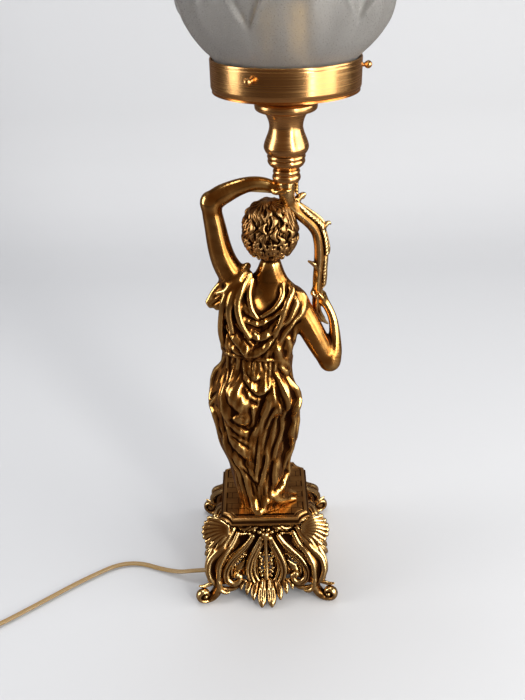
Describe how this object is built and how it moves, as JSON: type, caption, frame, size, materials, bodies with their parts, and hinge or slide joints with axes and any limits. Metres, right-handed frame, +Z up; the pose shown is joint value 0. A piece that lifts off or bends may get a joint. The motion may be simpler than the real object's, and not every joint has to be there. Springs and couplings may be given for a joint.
{
  "type": "figural table lamp",
  "caption": "Table lamp with a draped standing figure on a scroll-footed base, holding up a turned cup, gallery and tall frosted glass shade, with inline switch, coiled cord and plug.",
  "frame": {"origin": "middle of the lamp's own footprint, without its cord, on the table", "axes": "+Z up, +Y the way the figure faces, +X to the picture's right"},
  "size_m": [0.5478, 0.2009, 0.6895],
  "materials": {
    "gilt_brass": "antique gilt, dark in the hollows",
    "turned_brass": "satin, brushed round",
    "frosted_glass": "frosted white",
    "steel": "zinc plated",
    "black_plastic": "moulded",
    "white_ceramic": "glazed ceramic",
    "gold_cord": "clear gold flex",
    "bulb_white": "opal"
  },
  "bodies": {
    "lamp": {"base_casting": "gilt_brass", "deck_plate": "gilt_brass", "figure_body": "gilt_brass", "head": "gilt_brass", "raised_arm": "gilt_brass", "lowered_arm": "gilt_brass", "branch_stem": "gilt_brass", "turned_cup": "turned_brass", "gallery": "turned_brass", "threaded_nipple": "steel", "gallery_nut": "turned_brass", "holder_cap": "black_plastic", "holder_skirt": "black_plastic", "terminal_block": "white_ceramic", "centre_contact": "turned_brass", "threaded_liner": "turned_brass", "figure_bolts": "steel", "bolt_washers": "steel", "cord_bush": "black_plastic", "internal_wire": "gold_cord", "cord_lead": "gold_cord", "switch_lower": "black_plastic", "switch_upper": "black_plastic", "switch_screws": "steel", "cord_coil": "gold_cord", "cord_tail": "gold_cord", "cord_end": "gold_cord", "plug_body": "black_plastic", "plug_pins": "steel"},
    "shade": {"glass_shade": "frosted_glass"},
    "bulb": {"bulb_cap": "steel", "bulb_glass": "bulb_white"},
    "screw_1": {"gallery_screw_1": "turned_brass"},
    "screw_2": {"gallery_screw_2": "turned_brass"},
    "screw_3": {"gallery_screw_3": "turned_brass"},
    "rocker": {"switch_rocker": "black_plastic"}
  },
  "joints": [
    {"name": "shade_lift", "type": "slide", "parent": "lamp", "child": "shade", "axis": [0, 0, 1], "range_m": [0, 0.12]},
    {"name": "bulb_turn", "type": "hinge", "parent": "lamp", "child": "bulb", "pos_m": [0.0072, 0, 0.49], "axis": [0, 0, 1], "range_deg": [0, 1440]},
    {"name": "gallery_screw_1_out", "type": "slide", "parent": "lamp", "child": "screw_1", "axis": [-0.454, -0.891, 0], "range_m": [0, 0.006]},
    {"name": "gallery_screw_2_out", "type": "slide", "parent": "lamp", "child": "screw_2", "axis": [0.9986, 0.0523, 0], "range_m": [0, 0.006]},
    {"name": "gallery_screw_3_out", "type": "slide", "parent": "lamp", "child": "screw_3", "axis": [-0.5446, 0.8387, 0], "range_m": [0, 0.006]},
    {"name": "switch_rocker_tilt", "type": "hinge", "parent": "lamp", "child": "rocker", "pos_m": [-0.34276, -0.11033, 0.01002], "axis": [0.23, -0.9732, 0], "range_deg": [0, 16]}
  ]
}
